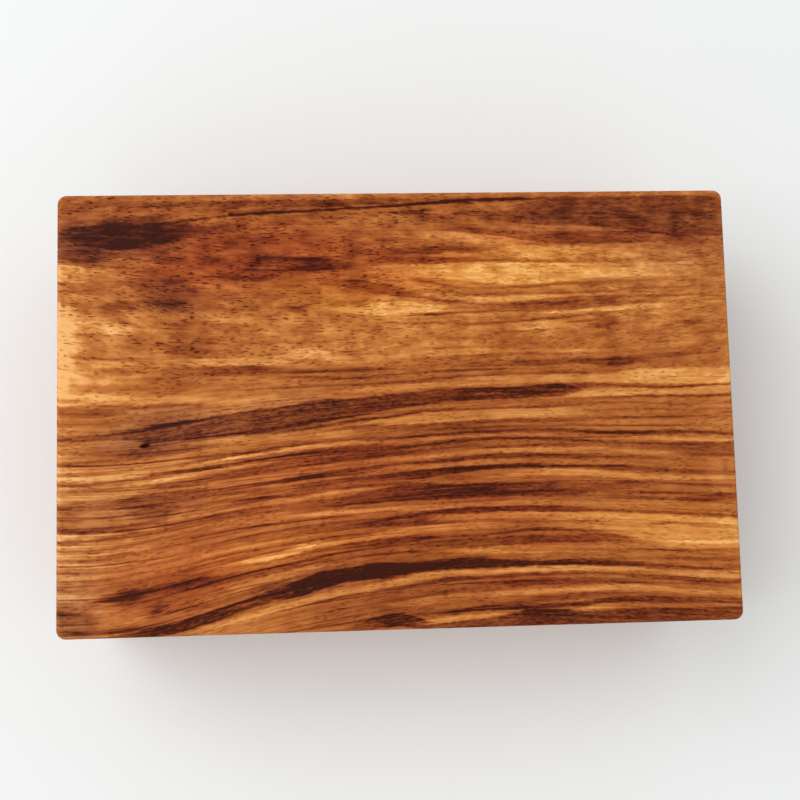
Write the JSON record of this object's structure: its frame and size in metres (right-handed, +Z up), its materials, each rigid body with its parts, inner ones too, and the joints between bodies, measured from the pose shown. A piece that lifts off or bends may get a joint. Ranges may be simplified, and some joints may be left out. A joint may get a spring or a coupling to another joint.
{
  "type": "shogi piece box",
  "caption": "Low rectangular hardwood box for shogi pieces, with a deep lift-off lid that slides over an inner lining.",
  "frame": {"origin": "middle of the footprint, on the surface that the box stands on", "axes": "+X along the box's length, +Y across it from the front to the back, +Z up, the way the lid lifts off"},
  "size_m": [0.185, 0.12, 0.068],
  "materials": {
    "figured_hardwood": "satin oil",
    "lining_wood": "fine sanded, waxed",
    "key_wood": "satin oil"
  },
  "bodies": {
    "base": {"base_bottom_board": "lining_wood", "base_rim_front": "figured_hardwood", "base_rim_right": "figured_hardwood", "base_rim_back": "figured_hardwood", "base_rim_left": "figured_hardwood", "lining_front": "lining_wood", "lining_right": "lining_wood", "lining_back": "lining_wood", "lining_left": "lining_wood", "base_key_front_right": "key_wood", "base_key_back_right": "key_wood", "base_key_back_left": "key_wood", "base_key_front_left": "key_wood"},
    "lid": {"lid_top_board": "figured_hardwood", "lid_wall_front": "figured_hardwood", "lid_wall_right": "figured_hardwood", "lid_wall_back": "figured_hardwood", "lid_wall_left": "figured_hardwood", "lid_key_front_right_lower": "key_wood", "lid_key_front_right_middle": "key_wood", "lid_key_front_right_upper": "key_wood", "lid_key_back_right_lower": "key_wood", "lid_key_back_right_middle": "key_wood", "lid_key_back_right_upper": "key_wood", "lid_key_back_left_lower": "key_wood", "lid_key_back_left_middle": "key_wood", "lid_key_back_left_upper": "key_wood", "lid_key_front_left_lower": "key_wood", "lid_key_front_left_middle": "key_wood", "lid_key_front_left_upper": "key_wood"}
  },
  "joints": [
    {"name": "lid_lift", "type": "slide", "parent": "base", "child": "lid", "axis": [0, 0, 1], "range_m": [0, 0.08]}
  ]
}
